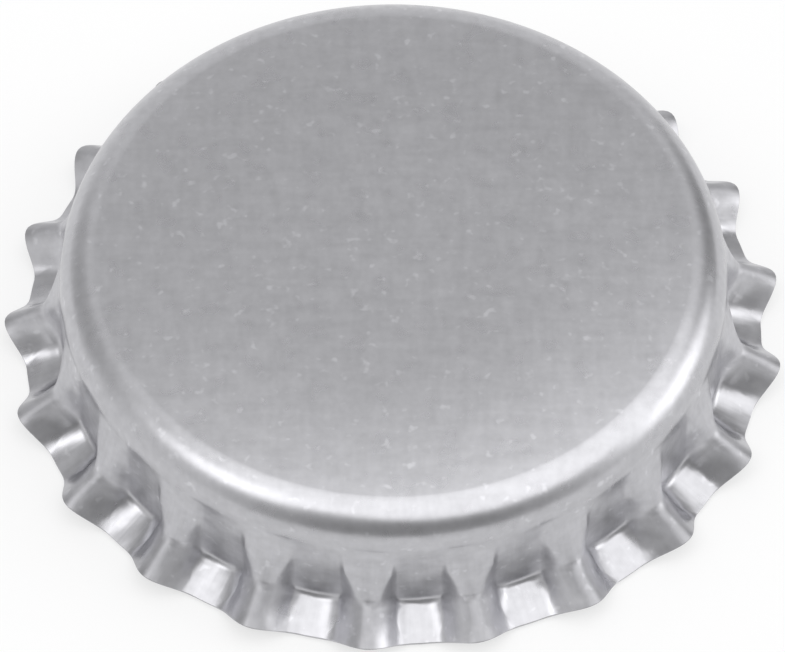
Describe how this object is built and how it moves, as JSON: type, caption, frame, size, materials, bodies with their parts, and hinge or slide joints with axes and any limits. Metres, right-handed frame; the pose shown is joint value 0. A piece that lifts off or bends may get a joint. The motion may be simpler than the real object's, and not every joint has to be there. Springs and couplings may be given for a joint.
{
  "type": "crown cap",
  "caption": "Pressed tinplate crown cap with a fluted skirt and a moulded sealing liner, crimped under the bead of a bottle neck to close it.",
  "frame": {"origin": "centre of the cap on the plane that the rim stands on", "axes": "+Z along the cap's axis, from the open mouth to the panel; the crest of one flute points along -X"},
  "size_m": [0.0319, 0.032, 0.0063],
  "materials": {
    "tinplate": "satin",
    "liner": "matte"
  },
  "bodies": {
    "root": {"crown_shell": "tinplate", "sealing_liner": "liner"}
  },
  "joints": []
}
